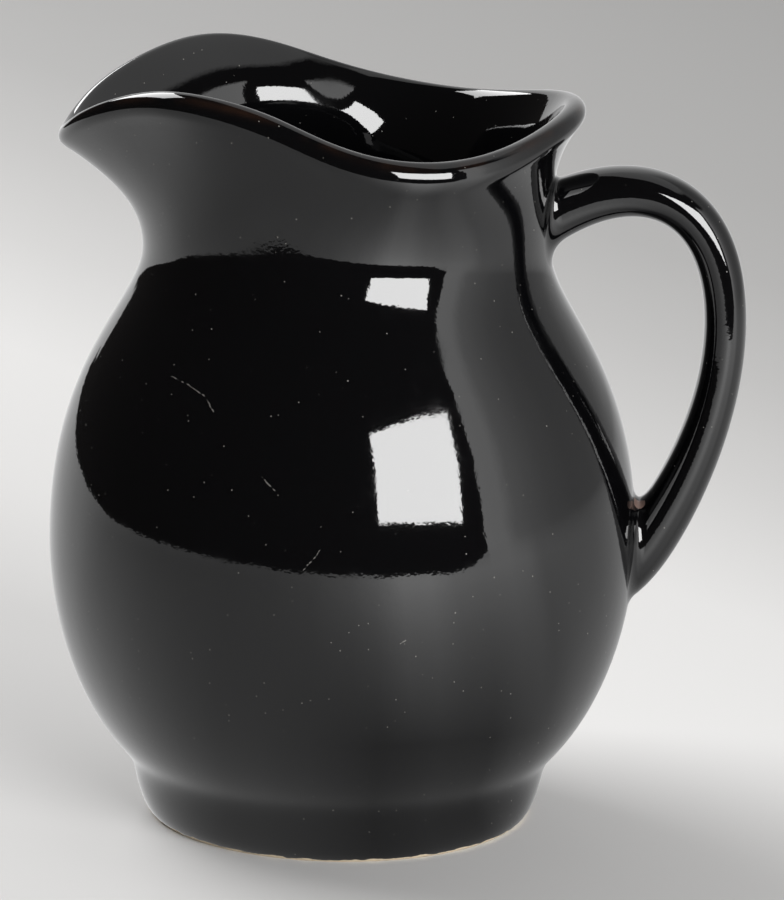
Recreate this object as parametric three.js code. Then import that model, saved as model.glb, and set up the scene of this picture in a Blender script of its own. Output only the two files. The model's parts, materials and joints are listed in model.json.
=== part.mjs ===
// A black glazed ceramic creamer: a round-bellied pitcher with a foot ring, a pulled pouring lip and a loop handle.
// Lengths are in millimetres, angles in degrees, and Z is up. The lip points along -X and the handle along +X.
// The vessel is a loft of upright sections round the pot's axis. The handle is swept in the XZ plane, each of its
// ends is trimmed to the vessel's wall, and a collar of joining clay fills the corner round each end.
import * as THREE from 'three';

// Foot ring: the band that the pitcher stands on, ground flat underneath, with a recess inside it.
const footRadius = 25.0;
const footFlatWidth = 3.4;
const footHeight = 6.8;
const footSpread = 2.6;
const footBulge = 1.6;
const footBulgeHeight = 1.0;
const cornerRise = 1.1;
const cornerRun = 0.35;
const recessDepth = 3.5;
const recessSlope = 1.8;

// Belly and neck: radii are to the outside of the wall. The neck is lowest under the lip and the handle, and its
// sides are lifted a little. A pull is how strongly a curve holds its end direction.
const wall = 3.2;
const floorThickness = 4.5;
const floorFlatRadius = 16.0;
const bellyRadius = 39.1;
const bellyHeight = 38.0;
const bellyStartAngle = 42;
const bellyStartPull = 8.8;
const bellyLowPull = 12.6;
const bellyHighPull = 24.0;
const neckRadius = 26.9;
const neckHeight = 77.0;
const neckSideLift = 2.9;
const neckPull = 8.0;

// Rim: the wall leans out to a lip that is round in section. The crest rises from the saddle to the shoulders of the
// pouring lip and dips again at its tip. At each of nine places round the rim, from the handle to the tip, an out is
// how far the crest stands out of the neck, and a rise is how high it stands above the neck.
const handleEndOut = 2.5;
const backOut = 2.3;
const saddleOut = 2.6;
const sideOut = 1.4;
const throatOut = -0.6;
const shoulderOut = 2.6;
const cheekOut = 5.1;
const lipCornerOut = 8.2;
const tipOut = 9.7;
const handleEndRise = 20.4;
const backRise = 18.9;
const saddleRise = 16.8;
const sideRise = 18.0;
const throatRise = 21.5;
const shoulderRise = 24.0;
const cheekRise = 22.4;
const lipCornerRise = 18.8;
const tipRise = 15.6;

// Where those places are, as an angle round from the handle, and how far the wall leans there.
const rimStations = [
  { angle: 0, out: handleEndOut, rise: handleEndRise, lean: 42 },
  { angle: 30, out: backOut, rise: backRise, lean: 36 },
  { angle: 62, out: saddleOut, rise: saddleRise, lean: 30 },
  { angle: 84, out: sideOut, rise: sideRise, lean: 22 },
  { angle: 107, out: throatOut, rise: throatRise, lean: 12 },
  { angle: 131, out: shoulderOut, rise: shoulderRise, lean: 28 },
  { angle: 150, out: cheekOut, rise: cheekRise, lean: 42 },
  { angle: 165, out: lipCornerOut, rise: lipCornerRise, lean: 50 },
  { angle: 180, out: tipOut, rise: tipRise, lean: 52 },
];
const leanPullShare = 0.36;

// Handle: an oval strap that springs from the neck, turns over its apex and runs down to the belly.
const upperJointRise = 3.8;
const upperJointAngle = 34.0;
const upperPull = 17.0;
const apexDrop = 9.5;
const apexUpPull = 17.9;
const apexDownPull = 15.8;
const fingerRoom = 8.2;
const lowerJointDrop = 4.2;
const lowerJointAngle = 30.0;
const lowerPull = 4.2;
const jointDepth = 2.5;
const rootRun = 8.0;
const upperThickness = 8.0;
const middleThickness = 5.6;
const lowerThickness = 8.1;
const upperWidth = 9.0;
const middleWidth = 8.4;
const lowerWidth = 10.6;
const strapSquareness = 2.3;

// Joining clay: each collar has one leg up the handle and one out over the vessel, longer on the side of the finger
// gap than on the outer side, and a blunt edge.
const jointGap = 0.3;
const upperOuterLeg = 1.3;
const upperInnerLeg = 2.6;
const lowerOuterLeg = 1.2;
const lowerInnerLeg = 4.0;
const collarEdge = 0.2;

// Steps that the curved surfaces are divided into, and the finer steps of the curves that are only measured.
const vesselSegments = 72;
const footEdgeSteps = 3;
const footBandSteps = 5;
const bellyLowSteps = 7;
const bellyHighSteps = 11;
const leaningSteps = 6;
const lipSteps = 7;
const leaningInsideSteps = 5;
const bowlHighSteps = 8;
const bowlLowSteps = 5;
const floorSteps = 4;
const strapSegments = 24;
const strapSteps = 44;
const filletSteps = 4;
const measuringSteps = 80;
const trimHalvings = 30;

const radians = THREE.MathUtils.degToRad;

function point(radius, height) {
  return new THREE.Vector2(radius, height);
}

// A step of a given length in an upright plane, tilted up from level.
function tilted(angle, length) {
  return point(Math.cos(radians(angle)) * length, Math.sin(radians(angle)) * length);
}

// The points of a chain of curves, each divided into its own number of steps.
function trace(chain) {
  return chain.flatMap(([curve, steps], i) => curve.getPoints(steps).slice(i === 0 ? 0 : 1));
}

// Skins a solid over rings of equally many points. A ring runs so that the surface faces out as the rings advance.
// The ends close on a point each, or with none given the last ring joins the first.
function skin(rings, startPoint, endPoint) {
  const count = rings[0].length;
  const vertices = rings.flat().flatMap((p) => [p.x, p.y, p.z]);
  const faces = [];
  const wraps = startPoint === undefined;
  const bands = wraps ? rings.length : rings.length - 1;
  for (let i = 0; i < bands; i += 1) {
    const low = i * count;
    const high = ((i + 1) % rings.length) * count;
    for (let j = 0; j < count; j += 1) {
      const next = (j + 1) % count;
      faces.push(low + j, low + next, high + next, low + j, high + next, high + j);
    }
  }
  if (!wraps) {
    const first = rings.length * count;
    const last = first - count;
    vertices.push(startPoint.x, startPoint.y, startPoint.z, endPoint.x, endPoint.y, endPoint.z);
    for (let j = 0; j < count; j += 1) {
      const next = (j + 1) % count;
      faces.push(first, next, j, last + j, last + next, first + 1);
    }
  }
  const geometry = new THREE.BufferGeometry();
  geometry.setAttribute('position', new THREE.Float32BufferAttribute(vertices, 3));
  geometry.setIndex(faces);
  geometry.computeVertexNormals();
  return geometry;
}

// The crest of the rim and the lean of the wall under it, at an angle round from the handle. The rim is the same on
// both sides, so the stations are passed level at each end.
const rimCurve = new THREE.CubicInterpolant(
  rimStations.map((station) => station.angle),
  rimStations.flatMap((station) => [station.out, station.rise, station.lean]),
  3,
);
rimCurve.settings = { endingStart: THREE.ZeroSlopeEnding, endingEnd: THREE.ZeroSlopeEnding };

function rimAt(angle) {
  const [out, rise, lean] = rimCurve.evaluate(angle);
  return { crest: point(neckRadius + out, neckHeight + rise), lean };
}

// The foot ring from the middle of the recess to the top of the band.
function footOutline() {
  const ceiling = footRadius - footFlatWidth - recessSlope;
  const inside = footRadius - footFlatWidth;
  const bulge = point(footRadius + footBulge, footBulgeHeight);
  const bandTop = point(footRadius + footSpread, footHeight);
  const bellyStart = bandTop.clone().add(point(cornerRun, cornerRise));
  return {
    curves: [
      [new THREE.LineCurve(point(0, recessDepth), point(ceiling, recessDepth)), 1],
      [new THREE.QuadraticBezierCurve(point(ceiling, recessDepth), point(inside, recessDepth), point(inside, 0)),
        footEdgeSteps],
      [new THREE.LineCurve(point(inside, 0), point(footRadius, 0)), 1],
      [new THREE.QuadraticBezierCurve(point(footRadius, 0), bulge, bandTop), footBandSteps],
      [new THREE.LineCurve(bandTop, bellyStart), 1],
    ],
    bellyStart,
  };
}

const foot = footOutline();

// The outside of the belly: two curves that meet upright at the widest ring, from the foot up to the neck.
const bellyLower = new THREE.CubicBezierCurve(
  foot.bellyStart,
  foot.bellyStart.clone().add(tilted(bellyStartAngle, bellyStartPull)),
  point(bellyRadius, bellyHeight - bellyLowPull),
  point(bellyRadius, bellyHeight),
);

function neckHeightAt(angle) {
  return neckHeight + neckSideLift * Math.sin(radians(angle)) ** 2;
}

function bellyUpper(angle) {
  const top = neckHeightAt(angle);
  return new THREE.CubicBezierCurve(
    point(bellyRadius, bellyHeight),
    point(bellyRadius, bellyHeight + bellyHighPull),
    point(neckRadius, top - neckPull),
    point(neckRadius, top),
  );
}

// The same curves set in by the wall, as points from the neck down.
function bellyInside(angle) {
  const upper = bellyUpper(angle);
  const steps = [
    ...Array.from({ length: bowlHighSteps }, (_, i) => [upper, 1 - (i + 1) / bowlHighSteps]),
    ...Array.from({ length: bowlLowSteps }, (_, i) => [bellyLower, 1 - (i + 1) / bowlLowSteps]),
  ];
  return steps.map(([curve, t]) => {
    const along = curve.getTangent(t);
    return curve.getPoint(t).add(point(-along.y, along.x).multiplyScalar(wall));
  });
}

// A side of the leaning wall between the neck and the lip. The lip's round is as wide as the wall is thick.
function leaningSide(angle, side) {
  const { crest, lean } = rimAt(angle);
  const lipCentre = point(crest.x, crest.y - wall / 2);
  const across = tilted(-lean, (wall / 2) * side);
  const neck = point(neckRadius - (side > 0 ? 0 : wall), neckHeightAt(angle));
  const end = lipCentre.clone().add(across);
  const pull = end.distanceTo(neck) * leanPullShare;
  return new THREE.CubicBezierCurve(
    neck,
    neck.clone().add(point(0, pull)),
    end.clone().sub(tilted(90 - lean, pull)),
    end,
  );
}

// Half a turn of the lip, from the outside of the wall over the crest to the inside.
function lipOutline(angle) {
  const { crest, lean } = rimAt(angle);
  return Array.from({ length: lipSteps - 1 }, (_, i) => {
    const turn = -lean + (180 * (i + 1)) / lipSteps;
    return point(crest.x, crest.y - wall / 2).add(tilted(turn, wall / 2));
  });
}

// One whole section of the vessel: out under the foot, up the outside, over the lip and down the inside.
function vesselSection(angle) {
  const outside = trace([
    ...foot.curves,
    [bellyLower, bellyLowSteps],
    [bellyUpper(angle), bellyHighSteps],
    [leaningSide(angle, 1), leaningSteps],
  ]);
  const inside = leaningSide(angle, -1).getPoints(leaningInsideSteps).reverse();
  const bowl = bellyInside(angle);
  const floor = recessDepth + floorThickness;
  const bowlEnd = bowl[bowl.length - 1];
  const floorTurn = point(bowlEnd.x - (bowlEnd.y - floor) / Math.tan(radians(bellyStartAngle)), floor);
  const floorCurve = new THREE.QuadraticBezierCurve(bowlEnd, floorTurn, point(floorFlatRadius, floor));
  return [...outside, ...lipOutline(angle), ...inside, ...bowl, ...floorCurve.getPoints(floorSteps).slice(1)];
}

function buildBody() {
  const sections = Array.from({ length: vesselSegments }, (_, j) => {
    const around = (j * 360) / vesselSegments;
    const section = vesselSection(Math.min(around, 360 - around));
    const turn = radians(around);
    return section.map((p) => new THREE.Vector3(p.x * Math.cos(turn), p.x * Math.sin(turn), p.y));
  });
  const rings = sections[0].map((_, i) => sections.map((section) => section[i])).slice(1);
  const floor = recessDepth + floorThickness;
  return skin(rings, new THREE.Vector3(0, 0, recessDepth), new THREE.Vector3(0, 0, floor));
}

// How far the vessel's outside stands from the axis, at an angle round from the handle and a height.
const bellyLowPoints = bellyLower.getPoints(measuringSteps);

function outsidePoints(angle, height) {
  if (height < bellyHeight) {
    return bellyLowPoints;
  }
  const curve = height < neckHeightAt(angle) ? bellyUpper(angle) : leaningSide(angle, 1);
  return curve.getPoints(measuringSteps);
}

function outsideRadius(angle, height) {
  const points = outsidePoints(angle, height);
  const above = Math.max(1, points.findIndex((p) => p.y > height));
  const [low, high] = [points[above - 1], points[above]];
  return THREE.MathUtils.mapLinear(height, low.y, high.y, low.x, high.x);
}

// A point on the vessel's outside raised by a gap, straight out from the axis through the point given.
function onVessel(p, gap) {
  const angle = THREE.MathUtils.radToDeg(Math.abs(Math.atan2(p.y, p.x)));
  const radius = outsideRadius(angle, p.z) + gap;
  const out = new THREE.Vector3(p.x, p.y, 0).setLength(radius);
  return new THREE.Vector3(out.x, out.y, p.z);
}

// The handle's centre line, with a straight run into the wall at each end.
function inPlane(p) {
  return new THREE.Vector3(p.x, 0, p.y);
}

function buildCentreLine() {
  const upper = point(neckRadius - jointDepth, neckHeight + upperJointRise);
  const apex = point(bellyRadius + fingerRoom + middleThickness / 2, neckHeight - apexDrop);
  const lower = point(bellyRadius - jointDepth, bellyHeight - lowerJointDrop);
  const upperWay = tilted(upperJointAngle, 1);
  const lowerWay = tilted(lowerJointAngle, 1);
  const line = new THREE.CurvePath();
  const upperStart = upper.clone().addScaledVector(upperWay, -rootRun);
  const lowerEnd = lower.clone().addScaledVector(lowerWay, -rootRun);
  line.add(new THREE.LineCurve3(inPlane(upperStart), inPlane(upper)));
  line.add(new THREE.CubicBezierCurve3(
    inPlane(upper),
    inPlane(upper.clone().addScaledVector(upperWay, upperPull)),
    inPlane(point(apex.x, apex.y + apexUpPull)),
    inPlane(apex),
  ));
  line.add(new THREE.CubicBezierCurve3(
    inPlane(apex),
    inPlane(point(apex.x, apex.y - apexDownPull)),
    inPlane(lower.clone().addScaledVector(lowerWay, lowerPull)),
    inPlane(lower),
  ));
  line.add(new THREE.LineCurve3(inPlane(lower), inPlane(lowerEnd)));
  return line;
}

const centreLine = buildCentreLine();
const lineLength = centreLine.getLength();

// A size that passes through three values along the handle: at its upper joint, its middle and its lower joint.
function blend(share, first, middle, last) {
  const s = THREE.MathUtils.clamp(share, 0, 1);
  return first * (1 - s) * (1 - 2 * s) + middle * 4 * s * (1 - s) + last * s * (2 * s - 1);
}

// A point on the strap: a share of the way along the centre line, and an angle round it from the outer side.
function strapPoint(share, around, gap) {
  const centre = centreLine.getPoint(share);
  const along = centreLine.getTangent(share);
  const outer = new THREE.Vector3(-along.z, 0, along.x);
  const visible = (share * lineLength - rootRun) / (lineLength - 2 * rootRun);
  const thickness = blend(visible, upperThickness, middleThickness, lowerThickness) / 2 + gap;
  const width = blend(visible, upperWidth, middleWidth, lowerWidth) / 2 + gap;
  const squared = (v) => Math.sign(v) * Math.abs(v) ** (2 / strapSquareness);
  return centre
    .addScaledVector(outer, thickness * squared(Math.cos(around)))
    .add(new THREE.Vector3(0, -width * squared(Math.sin(around)), 0));
}

// The share of the way along the handle at which a line on it comes out of the vessel, by halving.
function comesOut(pointAt, buried, clear, gap) {
  let inside = buried;
  let outside = clear;
  for (let i = 0; i < trimHalvings; i += 1) {
    const middle = (inside + outside) / 2;
    const p = pointAt(middle);
    if (Math.hypot(p.x, p.y) < onVessel(p, gap).setZ(0).length()) {
      inside = middle;
    } else {
      outside = middle;
    }
  }
  return (inside + outside) / 2;
}

const turns = Array.from({ length: strapSegments }, (_, k) => (2 * Math.PI * k) / strapSegments);

function buildHandle() {
  const ends = turns.map((around) => {
    const line = (share) => strapPoint(share, around, 0);
    return [comesOut(line, 0, 0.5, jointGap), comesOut(line, 1, 0.5, jointGap)];
  });
  const rings = Array.from({ length: strapSteps + 1 }, (_, i) => turns.map((around, k) => {
    const [first, last] = ends[k];
    return strapPoint(THREE.MathUtils.lerp(first, last, i / strapSteps), around, 0);
  }));
  const middleLine = (share) => centreLine.getPoint(share);
  const startPoint = middleLine(comesOut(middleLine, 0, 0.5, jointGap));
  const endPoint = middleLine(comesOut(middleLine, 1, 0.5, jointGap));
  return skin(rings, startPoint, endPoint);
}

// A collar of joining clay. Each of its sections starts in the corner between strap and vessel, runs out over the
// vessel, comes back in a hollow curve to the strap and returns down the strap to the corner.
function buildCollar(buried, outerLeg, innerLeg) {
  const rings = turns.map((around) => {
    const leg = THREE.MathUtils.lerp(outerLeg, innerLeg, (1 - Math.cos(around)) / 2);
    const step = (buried === 0 ? leg : -leg) / lineLength;
    const line = (share) => strapPoint(share, around, jointGap);
    const corner = comesOut(line, buried, 0.5, jointGap);
    const inCorner = line(corner);
    const away = inCorner.clone().sub(centreLine.getPoint(corner));
    const outward = new THREE.Vector3(inCorner.x, inCorner.y, 0).normalize();
    const over = away.addScaledVector(outward, -away.dot(outward)).setLength(leg);
    const onWall = [0.5, 1].map((part) => onVessel(inCorner.clone().addScaledVector(over, part), jointGap));
    const onStrap = [0.5, 1].map((part) => line(corner + step * part));
    const wallEdge = onVessel(onWall[1], jointGap + collarEdge);
    const strapEdge = strapPoint(corner + step, around, jointGap + collarEdge);
    const fillet = new THREE.QuadraticBezierCurve3(wallEdge, inCorner, strapEdge).getPoints(filletSteps);
    return [inCorner, ...onWall, ...fillet, onStrap[1], onStrap[0]];
  });
  return skin(buried === 0 ? rings.reverse() : rings);
}

// The pieces, in one glaze. The origin is at the foot of the whole pitcher, midway between lip and handle.
function glazed(name, geometry) {
  const glaze = new THREE.MeshStandardMaterial({ color: 0x0c0c0d, roughness: 0.08, metalness: 0 });
  const mesh = new THREE.Mesh(geometry, glaze);
  mesh.name = name;
  return mesh;
}

const creamer = new THREE.Group();
creamer.add(
  glazed('body', buildBody()),
  glazed('handle', buildHandle()),
  glazed('upper_joint_slip', buildCollar(0, upperOuterLeg, upperInnerLeg)),
  glazed('lower_joint_slip', buildCollar(1, lowerOuterLeg, lowerInnerLeg)),
);
const middle = new THREE.Box3().setFromObject(creamer).getCenter(new THREE.Vector3());
for (const piece of creamer.children) {
  piece.position.x = -middle.x;
}

export default creamer;
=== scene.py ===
# %% [markdown]
# # A black glazed creamer
# A creamer is a small pitcher for cream or milk. This one is slip cast: liquid clay stands in a plaster
# mould, leaves a wall about 3 mm thick and is poured out again. The lip is pulled while the wall is soft, a
# handle is stuck on with slip, and the whole is dipped in a gloss black glaze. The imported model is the
# fixed frame that every piece is made around. It stands on z = 0, its lip points along -X and its handle
# along +X.

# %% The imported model
import json
import math

import bmesh
import bpy
import numpy as np
from mathutils import Matrix, Vector
from mathutils.bvhtree import BVHTree

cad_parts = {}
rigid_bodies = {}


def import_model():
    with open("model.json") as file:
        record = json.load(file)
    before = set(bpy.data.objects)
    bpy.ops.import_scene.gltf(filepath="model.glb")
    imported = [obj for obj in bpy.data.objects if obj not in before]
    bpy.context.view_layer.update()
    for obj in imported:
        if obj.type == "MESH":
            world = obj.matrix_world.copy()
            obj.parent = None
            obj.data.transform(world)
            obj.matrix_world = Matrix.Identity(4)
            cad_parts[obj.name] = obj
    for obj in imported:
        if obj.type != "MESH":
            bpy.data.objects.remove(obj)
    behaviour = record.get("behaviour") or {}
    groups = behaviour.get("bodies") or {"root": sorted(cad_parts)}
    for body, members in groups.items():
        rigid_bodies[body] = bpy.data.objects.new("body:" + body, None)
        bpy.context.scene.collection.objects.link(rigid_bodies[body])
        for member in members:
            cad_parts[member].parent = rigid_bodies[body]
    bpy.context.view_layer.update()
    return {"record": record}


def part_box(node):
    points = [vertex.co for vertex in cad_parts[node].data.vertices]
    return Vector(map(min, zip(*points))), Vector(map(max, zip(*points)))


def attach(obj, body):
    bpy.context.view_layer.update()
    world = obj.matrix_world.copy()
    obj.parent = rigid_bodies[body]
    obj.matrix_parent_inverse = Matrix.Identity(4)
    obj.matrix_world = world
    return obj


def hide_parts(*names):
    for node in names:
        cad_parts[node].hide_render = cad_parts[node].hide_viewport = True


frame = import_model()
mm = 0.001

# %% [markdown]
# The pot is round about an upright axis, which doesn't pass through the frame's origin, because the origin
# is midway between the lip and the handle. The record's mount is a point on the foot, level with the axis,
# so it gives its place. The belly's radius is half the body's width.

# %% The pot's axis
axis_x = frame["record"]["mounts"][0]["pos_m"][0]
belly_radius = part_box("body")[1].y
print(f"axis at x = {axis_x / mm:.1f} mm, belly radius {belly_radius / mm:.1f} mm")

# %% [markdown]
# Every material and every Geometry Nodes tree below is built from small parts, so one function adds a node,
# sets its properties and fills its inputs. Inputs come as a dictionary by name, or as a list in the node's
# own order. An input is filled with a value, or linked when what is given is another node's output. A
# node's kind is written without its family's name, and a math node's with its operation: "Math ADD" is a
# ShaderNodeMath that adds. The other functions here make a direction from an angle, a point on a Bezier
# curve, an object in the scene, and a linear colour.

# %% Adding a node
def add(tree, kind, inputs=(), output=None, stops=(), **settings):
    """Adds a node with its settings, a ramp's stops and its inputs, and returns one of its outputs."""
    kind, _, operation = kind.partition(" ")
    families = ["ShaderNode"]
    if tree.type == "GEOMETRY":
        families = ["GeometryNode", "FunctionNode", "ShaderNode", "Node"]
    node = tree.nodes.new(next(f + kind for f in families if hasattr(bpy.types, f + kind)))
    if operation:
        node.operation = operation
    for name, value in settings.items():
        setattr(node, name, value)
    if stops:
        elements = node.color_ramp.elements
        elements.remove(elements[0])
        elements[0].position, elements[0].color = stops[0]
        for place, colour in stops[1:]:
            elements.new(place).color = colour
    for name, value in (inputs.items() if isinstance(inputs, dict) else enumerate(inputs)):
        socket = next(s for i, s in enumerate(node.inputs) if s.enabled and name in (i, s.name))
        if isinstance(value, bpy.types.NodeSocket):
            tree.links.new(value, socket)
        else:
            socket.default_value = value
    outputs = [s for s in node.outputs if s.enabled and output in (None, s.name)]
    return outputs[0] if outputs else None


def turned_way(tree, angle, first, second):
    """A direction that holds an angle's cosine on its first axis and its sine on its second."""
    cosine, sine = (add(tree, f"Math {wave}", [angle]) for wave in ("COSINE", "SINE"))
    return add(tree, "CombineXYZ", {first: cosine, second: sine})


def curve_point(tree, points, share):
    """The point a share of the way along a Bezier curve: neighbours are mixed until one point is left."""
    while len(points) > 1:
        points = [add(tree, "Mix", {"Factor": share, "A": a, "B": b}, data_type="VECTOR")
                  for a, b in zip(points, points[1:])]
    return points[0]


def new_object(name, data):
    """A new object at the origin, in the scene, that holds the data."""
    made = bpy.data.objects.new(name, data)
    bpy.context.scene.collection.objects.link(made)
    return made


def linear(hex_colour):
    """An sRGB colour such as "c8b49a" as the linear colour that a shader reads."""
    srgb = [int(hex_colour[i:i + 2], 16) / 255 for i in (0, 2, 4)]
    return [c / 12.92 if c <= 0.04045 else ((c + 0.055) / 1.055) ** 2.4 for c in srgb] + [1.0]


# %% [markdown]
# The wall's section has two kinds of part. The foot and the belly are the same all the way round. The rim
# isn't: it leans out further at the lip than at the saddle, and it rises and dips. So the section is
# written as rows from the middle of the foot, up the outside, over the lip and down to the middle of the
# floor. Each row has a base point, how far up the leaning wall it is (climb), and how far over the lip's
# round it is (turn, in half turns). The belly's two curves meet at the widest ring. The narrowest ring, the
# neck, is a little higher at the pot's sides than under the lip and the handle, and a row's last number
# says how much of that lift it takes (neck).

# %% The section's sizes
wall = 3.2 * mm
foot_radius = 25.0 * mm
foot_flat = 3.4 * mm
foot_height = 6.8 * mm
foot_spread = 2.6 * mm
foot_bulge = 1.6 * mm
foot_bulge_height = 1.0 * mm
corner_rise = 1.1 * mm
corner_run = 0.35 * mm
recess_depth = 3.5 * mm
recess_slope = 1.8 * mm
floor_height = recess_depth + 4.5 * mm
floor_flat_radius = 16.0 * mm
belly_height = 38.0 * mm
belly_start_angle = math.radians(42)
belly_start_pull = 8.8 * mm
belly_low_pull = 12.6 * mm
belly_high_pull = 24.0 * mm
neck_radius = 26.9 * mm
neck_height = 77.0 * mm
neck_pull = 8.0 * mm
neck_side_lift = 2.9 * mm
lower_steps, upper_steps = 48, 52


def bezier(points, steps):
    """Points along a Bezier curve of any degree, both ends included."""
    t = np.linspace(0, 1, steps + 1)[:, None]
    curve = [np.array(p, float)[None] for p in points]
    while len(curve) > 1:
        curve = [a * (1 - t) + b * t for a, b in zip(curve, curve[1:])]
    return curve[0]


# %% The section's rows
def belly_curves():
    """The outside of the belly from the foot to the neck, as two curves' control points."""
    start = np.array([foot_radius + foot_spread + corner_run, foot_height + corner_rise])
    way = np.array([math.cos(belly_start_angle), math.sin(belly_start_angle)])
    lower = [start, start + way * belly_start_pull, (belly_radius, belly_height - belly_low_pull),
             (belly_radius, belly_height)]
    upper = [(belly_radius, belly_height), (belly_radius, belly_height + belly_high_pull),
             (neck_radius, neck_height - neck_pull), (neck_radius, neck_height)]
    return lower, upper


def section_rows():
    """Rows of (radius, height, climb, turn, neck), from the middle of the foot to the middle of the floor."""
    inside = foot_radius - foot_flat
    ceiling = inside - recess_slope
    band_top = (foot_radius + foot_spread, foot_height)
    lower, upper = belly_curves()
    foot = [bezier([(0, recess_depth), (ceiling, recess_depth)], 10),
            bezier([(ceiling, recess_depth), (inside, recess_depth), (inside, 0)], 8)[1:],
            bezier([(inside, 0), (foot_radius, 0)], 4)[1:],
            bezier([(foot_radius, 0), (foot_radius + foot_bulge, foot_bulge_height), band_top], 10)[1:],
            bezier([band_top, lower[0]], 2)[1:]]
    belly = np.vstack([bezier(lower, lower_steps), bezier(upper, upper_steps)[1:]])
    t = np.clip(np.arange(len(belly)) - lower_steps, 0, upper_steps) / upper_steps
    lifted = t * t * (3 - 2 * t)
    along = np.gradient(belly, axis=0)
    along /= np.linalg.norm(along, axis=1)[:, None]
    bowl = (belly + np.stack([-along[:, 1], along[:, 0]], 1) * wall)[::-2]
    turn_in = (bowl[-1][0] - (bowl[-1][1] - floor_height) / math.tan(belly_start_angle), floor_height)
    floor = np.vstack([bezier([bowl[-1], turn_in, (floor_flat_radius, floor_height)], 10)[1:],
                       bezier([(floor_flat_radius, floor_height), (0, floor_height)], 8)[1:]])
    outside = np.vstack([*foot, belly[1:]])
    leaning, lip = 26, 16
    neck_out, neck_in = outside[-1], bowl[0]
    below = len(outside) - len(lifted) + 1
    rows = [(*p, 0, 0, 0) for p in outside[:below]]
    rows += [(*p, 0, 0, share) for p, share in zip(outside[below:], lifted[1:])]
    rows += [(*neck_out, i / leaning, 0, 1) for i in range(1, leaning)]
    rows += [(*neck_in, 1, i / lip, 1) for i in range(lip + 1)]
    rows += [(*neck_in, 1 - i / leaning, 1, 1) for i in range(1, leaning)]
    rows += [(*p, 0, 1, share) for p, share in zip(bowl, lifted[::-2])]
    rows += [(*p, 0, 1, 0) for p in floor]
    return np.array(rows)


def softness(rows):
    """How far each row may be softened: not at all low on the foot and on the lip, fully on the walls."""
    hard_height, fading_rows = foot_height - 2 * mm, 6
    fixed = np.flatnonzero((rows[:, 1] < hard_height) & (rows[:, 3] == 0) | (rows[:, 2] == 1))
    distance = np.abs(np.arange(len(rows))[:, None] - fixed[None]).min(axis=1)
    return np.clip((distance - 1) / fading_rows, 0, 1)


rows = section_rows()
print("section rows:", len(rows))

# %% [markdown]
# The rim is drawn through nine places from the handle's side round to the tip of the lip. At each, `out` is
# how far the crest stands out of the neck, `rise` how high it is above it, and `lean` how far the wall's
# outer side tips out there. The inner side has leans of its own and a stronger pull, because the fingers
# that drew the lip out pressed the wall thicker at the throat and rolled it over towards the crest. A gloss
# glaze shows every kink as a break in its reflections, so the places are joined by a spline whose curvature
# is continuous too, level at both ends so that the two sides of the pot match.

# %% The rim's spline
rim_places = [
    # angle, out, rise, lean
    (0, 2.5, 20.4, 42),
    (30, 2.3, 18.9, 36),
    (62, 2.6, 16.8, 30),
    (84, 1.4, 18.0, 22),
    (107, -0.6, 21.5, 11),
    (131, 2.6, 24.0, 32),
    (150, 5.1, 22.4, 43),
    (165, 8.2, 18.8, 50),
    (180, 9.7, 15.6, 52),
]
outer_pull = 0.36
inner_leans = [
    # angle, lean, pull
    (0, 42, 0.36),
    (30, 36, 0.36),
    (62, 30, 0.36),
    (84, 32, 0.42),
    (100, 40, 0.50),
    (115, 46, 0.52),
    (131, 52, 0.52),
    (144, 54, 0.50),
    (155, 54, 0.46),
    (165, 52, 0.42),
    (180, 52, 0.36),
]
lip_side_height = 2.4 * mm


def spline(x, y, at):
    """The cubic spline through (x, y) that is level at both ends, at the places asked for."""
    h = np.diff(x)
    slopes = np.diff(y, axis=0) / h[:, None]
    system = np.diag([2 * h[0], *(2 * (h[:-1] + h[1:])), 2 * h[-1]]) + np.diag(h, 1) + np.diag(h, -1)
    bend = np.linalg.solve(system, 6 * np.vstack([slopes[:1], np.diff(slopes, axis=0), -slopes[-1:]]))
    k = np.clip(np.searchsorted(x, at, side="right") - 1, 0, len(h) - 1)
    a, b, w = (x[k + 1] - at)[:, None], (at - x[k])[:, None], h[k][:, None]
    curved = (bend[k] * a ** 3 + bend[k + 1] * b ** 3) / (6 * w)
    return curved + (y[k] / w - bend[k] * w / 6) * a + (y[k + 1] / w - bend[k + 1] * w / 6) * b


columns = 288
places = np.array(rim_places, float)
around = np.arange(columns + 1) * 360 / columns
inner_places = np.array(inner_leans, float)
half_round = np.minimum(around, 360 - around)
out, rise, lean = spline(places[:, 0], places[:, 1:], half_round).T
inner_lean, inner_pull = spline(inner_places[:, 0], inner_places[:, 1:], half_round).T
crest_radius = neck_radius + out * mm
crest_height = neck_height + rise * mm
sideways = np.sin(np.radians(around)) ** 2
lip_height = wall / 2 + (lip_side_height - wall / 2) * sideways
lip_start, lip_end = (np.arctan(lip_height / (wall / 2) * np.tan(np.radians(a))) for a in (lean, inner_lean))
print(f"crest from {crest_height.min() / mm:.1f} to {crest_height.max() / mm:.1f} mm high")

# %% [markdown]
# The rows and the rim go to Geometry Nodes as two small meshes whose vertices carry the numbers as
# attributes.

# %% Meshes that carry numbers
def points_with(name, positions, **attributes):
    """A mesh of loose vertices with float attributes, as an object."""
    mesh = bpy.data.meshes.new(name)
    mesh.from_pydata([tuple(p) for p in positions], [], [])
    for key, values in attributes.items():
        layer = mesh.attributes.new(key, "FLOAT", "POINT")
        layer.data.foreach_set("value", np.array(values, np.float32))
    return new_object(name, mesh)


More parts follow.
